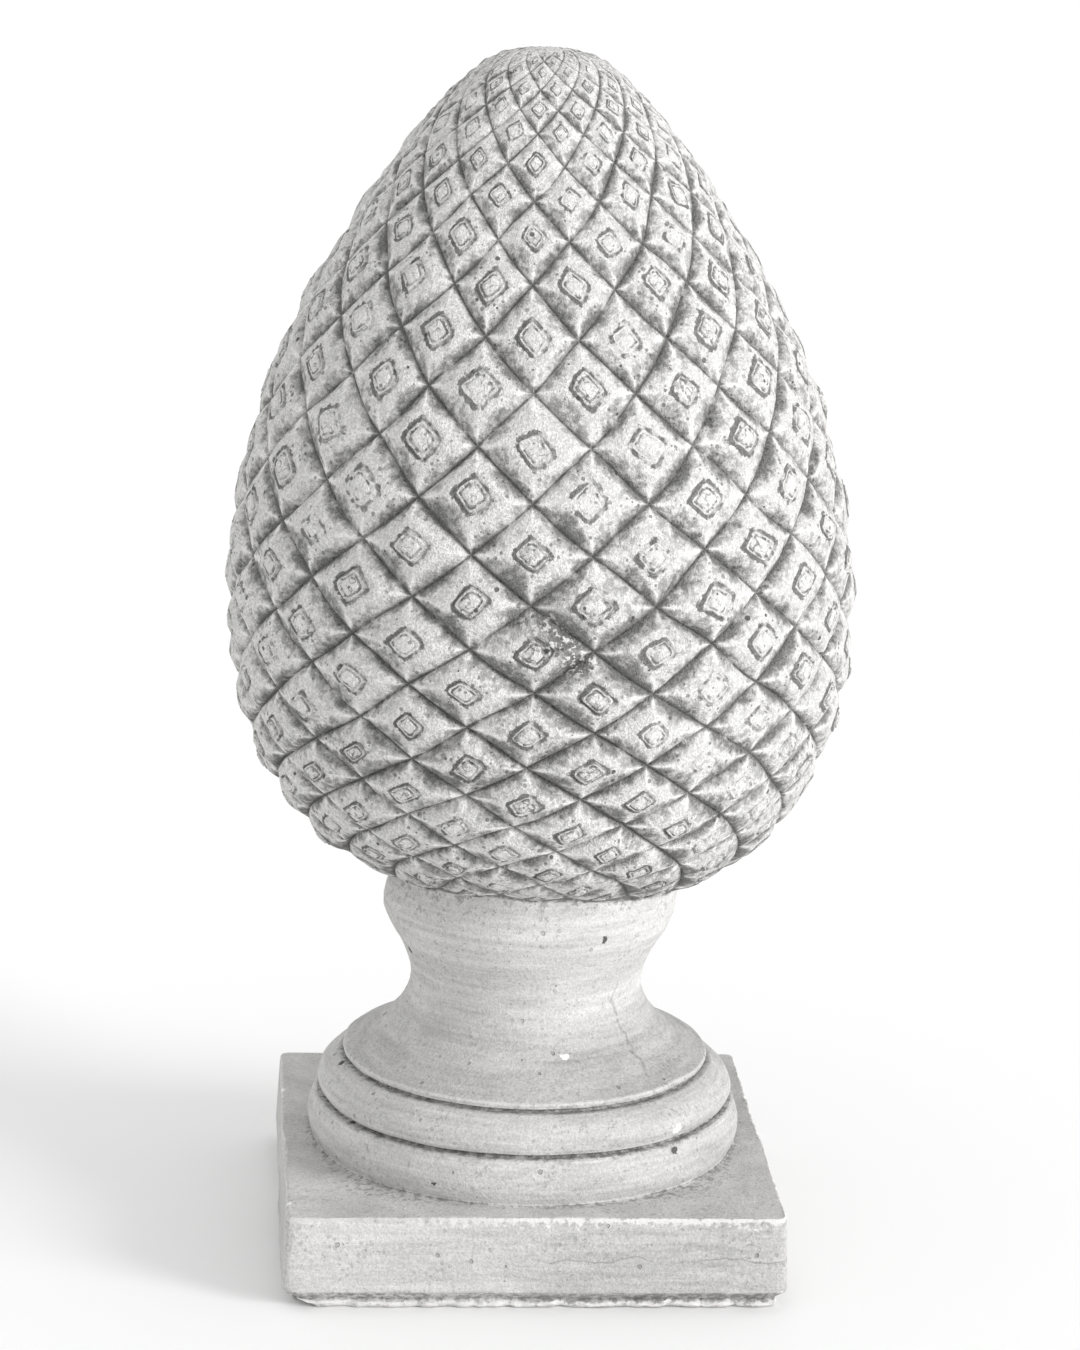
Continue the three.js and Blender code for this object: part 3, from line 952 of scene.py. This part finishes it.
def stone_tone(g, m):
    """How pale the stone is: its own tone first, then each mark laid over it."""
    tone = STONE + (m.broad - 0.5) * 0.10 + (m.patch - 0.5) * 0.10
    tone = tone + m.grain * (0.20 - 0.10 * m.pedestal)
    base = m.pedestal * g.step(m.height, 0.112, 0.088)
    flare = base * g.step(m.height, 0.076, 0.079)
    collar = g.step(m.height, 0.130, 0.142)
    front = g.step(-m.forward, 0.098, 0.100)
    # Painted light on the upper collar, under the cone's foot, and painted shade on the plinth's front
    # face
    tone = tone + m.pedestal * (m.brushed - 0.055 + 0.03 * collar - 0.035 * front)
    # Painted shade on the mouldings below the neck and on the upward-facing flare, more on the right
    # where the key light falls
    tone = tone - base * (0.01 + 0.07 * g.step(m.side, -0.03, 0.04))
    tone = tone - flare * (0.03 + 0.05 * g.step(m.side, 0.0, 0.05))
    fleck = g.step(m.ragged + m.grain * 0.12, 0.64, 0.72) * (1.0 - m.film) * m.cone
    # Painted highlights on the ridges, the boss tops and the edges (the edges also rubbed pale with
    # wear), then dirt and painted shade
    tone = g.mix(m.crest * 0.85, tone, RIDGE_HIGHLIGHT + m.grain * 0.1)
    tone = g.mix(m.top, tone, BOSS_HIGHLIGHT + m.grain * 0.1)
    tone = g.mix(m.edges, tone, RUBBED_AND_LIT_EDGE)
    tone = g.mix(fleck * 0.6, tone, FLECK)
    tone = g.mix(m.dirt * 0.92, tone, DIRT_AND_SHADE + m.grain * 0.06)
    tone = g.mix(m.pores * 0.85, tone, PORE)
    tone = g.mix(m.eaten * g.step(m.ragged, 0.53, 0.60), tone, EATEN_LUMP)
    tone = g.mix(g.larger(m.pitted, g.larger(m.seam * 0.4, m.cracks * 0.35)), tone, PIT)
    return g.mix(m.chipped, tone, CHIP)


def stone_material():
    g = Graph("cast_stone")
    m = stone_base(g)
    scale_marks(g, m)
    pedestal_marks(g, m)
    pore_marks(g, m)
    dirt_marks(g, m)
    black, white = (0.0, 0.0, 0.0, 1.0), (1.0, 0.992, 0.975, 1.0)
    inputs = {0: stone_tone(g, m), 6: black, 7: white}
    colour = g.add("ShaderNodeMix", {"data_type": "RGBA"}, inputs)
    surface = m.grain * (0.45 - 0.3 * m.pedestal) + m.ragged * (0.8 + 3.0 * m.eaten) - m.holes * 1.6
    relief = {"Height": surface, "Strength": 0.8, "Distance": 0.0006}
    bump = g.add("ShaderNodeBump", {}, relief)
    inputs = {
        "Base Color": colour.outputs[2],
        "Roughness": 0.92,
        "Specular IOR Level": 0.25,
        "Normal": bump.outputs["Normal"],
    }
    shader = g.add("ShaderNodeBsdfPrincipled", {}, inputs)
    g.add("ShaderNodeOutputMaterial", {}, {"Surface": shader.outputs["BSDF"]})
    return g.material


def plain_material(name, tone, roughness):
    g = Graph(name)
    shader = g.add(
        "ShaderNodeBsdfPrincipled",
        {},
        {"Base Color": (tone, tone, tone, 1.0), "Roughness": roughness},
    )
    g.add("ShaderNodeOutputMaterial", {}, {"Surface": shader.outputs["BSDF"]})
    return g.material


def add_floor():
    bm = bmesh.new()
    bmesh.ops.create_grid(bm, x_segments=1, y_segments=1, size=40.0)
    mesh = bpy.data.meshes.new("floor")
    bm.to_mesh(mesh)
    bm.free()
    floor = bpy.data.objects.new("floor", mesh)
    bpy.context.scene.collection.objects.link(floor)
    mesh.materials.append(plain_material("floor_white", 0.92, 0.9))


# The view, solved from the photograph: focal length in its pixels, then millimetres and degrees
FOCAL_PIXELS = 4469.4
PHOTO_HEIGHT = 1350.0
DISTANCE = 1825.5
ELEVATION = 14.286
AZIMUTH = -4.387
ROLL = 1.718
AIM_SIDE = 1.934
AIM_HEIGHT = 236.8


def add_camera():
    e, a, roll = (math.radians(v) for v in (ELEVATION, AZIMUTH, ROLL))
    back = Vector((math.sin(a) * math.cos(e), -math.cos(a) * math.cos(e), math.sin(e)))
    level = Vector((math.cos(a), math.sin(a), 0))
    up = back.cross(level)
    right = math.cos(roll) * level + math.sin(roll) * up
    top = -math.sin(roll) * level + math.cos(roll) * up
    target = Vector((0, 0, AIM_HEIGHT)) + AIM_SIDE * level
    data = bpy.data.cameras.new("photo_view")
    data.sensor_width = 36.0
    data.lens = FOCAL_PIXELS * 36.0 / PHOTO_HEIGHT
    data.clip_end = 100.0
    camera = bpy.data.objects.new("photo_view", data)
    turn = Matrix((right, top, back)).transposed().to_4x4()
    camera.matrix_world = Matrix.Translation((target + DISTANCE * back) * MM) @ turn
    bpy.context.scene.collection.objects.link(camera)
    bpy.context.scene.camera = camera


# Studio light: a soft key from the right, in degrees and watts a square metre, in a white room
KEY_AZIMUTH = 56.0
KEY_ELEVATION = 16.0
KEY_STRENGTH = 2.5
KEY_SOFTNESS = 24.0
WORLD_STRENGTH = 0.90


def add_light(name, azimuth, elevation, strength, softness):
    """A broad lamp far off; azimuth turns from the front to the right."""
    data = bpy.data.lights.new(name, "SUN")
    data.energy = strength
    data.angle = math.radians(softness)
    lamp = bpy.data.objects.new(name, data)
    a, e = math.radians(azimuth), math.radians(elevation)
    towards = Vector((math.sin(a) * math.cos(e), -math.cos(a) * math.cos(e), math.sin(e)))
    lamp.matrix_world = towards.to_track_quat("Z", "Y").to_matrix().to_4x4()
    bpy.context.scene.collection.objects.link(lamp)


def add_world(strength):
    world = bpy.data.worlds.new("studio")
    world.use_nodes = True
    background = world.node_tree.nodes["Background"]
    background.inputs["Color"].default_value = (1, 1, 1, 1)
    background.inputs["Strength"].default_value = strength
    bpy.context.scene.world = world


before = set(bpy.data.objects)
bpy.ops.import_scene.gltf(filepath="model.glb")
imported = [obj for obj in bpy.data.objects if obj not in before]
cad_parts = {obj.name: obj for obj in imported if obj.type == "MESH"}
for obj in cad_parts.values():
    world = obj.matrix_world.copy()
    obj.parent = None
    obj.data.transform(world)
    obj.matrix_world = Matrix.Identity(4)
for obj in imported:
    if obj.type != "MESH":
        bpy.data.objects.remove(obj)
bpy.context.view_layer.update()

finial = build_finial()
finial.data.materials.append(stone_material())
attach(finial, "root")
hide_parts(NODE)

add_floor()
add_camera()
add_light("key", KEY_AZIMUTH, KEY_ELEVATION, KEY_STRENGTH, KEY_SOFTNESS)
add_world(WORLD_STRENGTH)
scene = bpy.context.scene
scene.view_settings.view_transform = "Standard"
